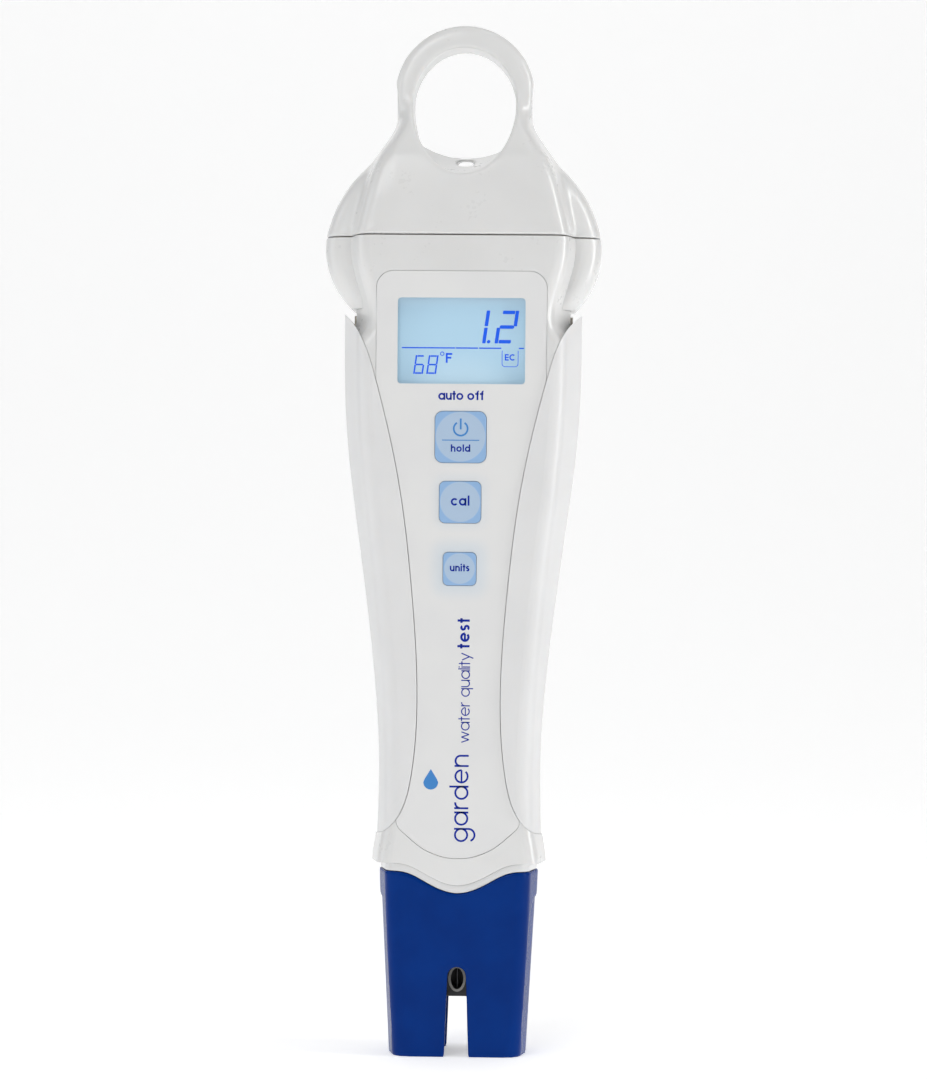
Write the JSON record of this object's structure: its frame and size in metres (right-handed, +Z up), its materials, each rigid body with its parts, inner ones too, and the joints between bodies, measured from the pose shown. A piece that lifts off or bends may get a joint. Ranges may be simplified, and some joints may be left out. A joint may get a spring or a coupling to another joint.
{
  "type": "water test pen",
  "caption": "Pocket conductivity test pen: white body with display, keys and side grips, pull-off battery cap with a hang ring, and a slotted blue probe shroud.",
  "frame": {"origin": "middle of the shroud's foot, on the surface the pen stands on", "axes": "+Z up the pen from probe end to hang ring, +X to the right of the display, the display faces -Y"},
  "size_m": [0.0524, 0.0252, 0.195],
  "materials": {
    "white_shell": "satin",
    "white_grip": "satin",
    "front_film": "satin",
    "clear_window": "gloss",
    "display": "gloss",
    "key_blue": "satin",
    "blue_shell": "satin",
    "black_plastic": "matte",
    "pale_plastic": "satin",
    "light_guide": "frosted",
    "board_green": "satin",
    "chip_black": "matte",
    "steel": "brushed",
    "cell_wrap": "gloss",
    "rubber_grey": "matte",
    "lead_cover": "matte"
  },
  "bodies": {
    "body": {"front_housing": "white_shell", "rear_housing": "white_shell", "right_grip": "white_grip", "left_grip": "white_grip", "front_label": "front_film", "display_window": "clear_window", "lcd_glass": "display", "display_frame": "black_plastic", "backlight_plate": "light_guide", "backlight_leds": "light_guide", "contact_strips": "rubber_grey", "circuit_board": "board_green", "control_chips": "chip_black", "dome_switches": "steel", "board_screws": "steel", "battery_cell": "cell_wrap", "battery_tray": "black_plastic", "spring_contact": "steel", "plate_contact": "steel", "cap_gasket": "rubber_grey", "housing_seal": "rubber_grey", "probe_collar": "white_shell", "probe_seal": "rubber_grey", "probe_body": "black_plastic", "probe_rim": "pale_plastic", "electrode_pins": "steel", "temperature_sensor": "steel", "probe_leads": "lead_cover"},
    "cap": {"battery_cap": "white_shell"},
    "guard": {"shroud": "blue_shell"},
    "power": {"power_key": "key_blue"},
    "cal": {"cal_key": "key_blue"},
    "units": {"units_key": "key_blue"}
  },
  "joints": [
    {"name": "cap_pull", "type": "slide", "parent": "body", "child": "cap", "axis": [0, 0, 1], "range_m": [0, 0.03]},
    {"name": "shroud_pull", "type": "slide", "parent": "body", "child": "guard", "axis": [0, 0, -1], "range_m": [0, 0.03]},
    {"name": "power_press", "type": "slide", "parent": "body", "child": "power", "axis": [0, 0.9997, 0.025], "range_m": [0, 0.0005], "stiffness_N_per_m": 2000},
    {"name": "cal_press", "type": "slide", "parent": "body", "child": "cal", "axis": [0, 0.9997, 0.025], "range_m": [0, 0.0005], "stiffness_N_per_m": 2000},
    {"name": "units_press", "type": "slide", "parent": "body", "child": "units", "axis": [0, 0.9997, 0.025], "range_m": [0, 0.0005], "stiffness_N_per_m": 2000}
  ]
}
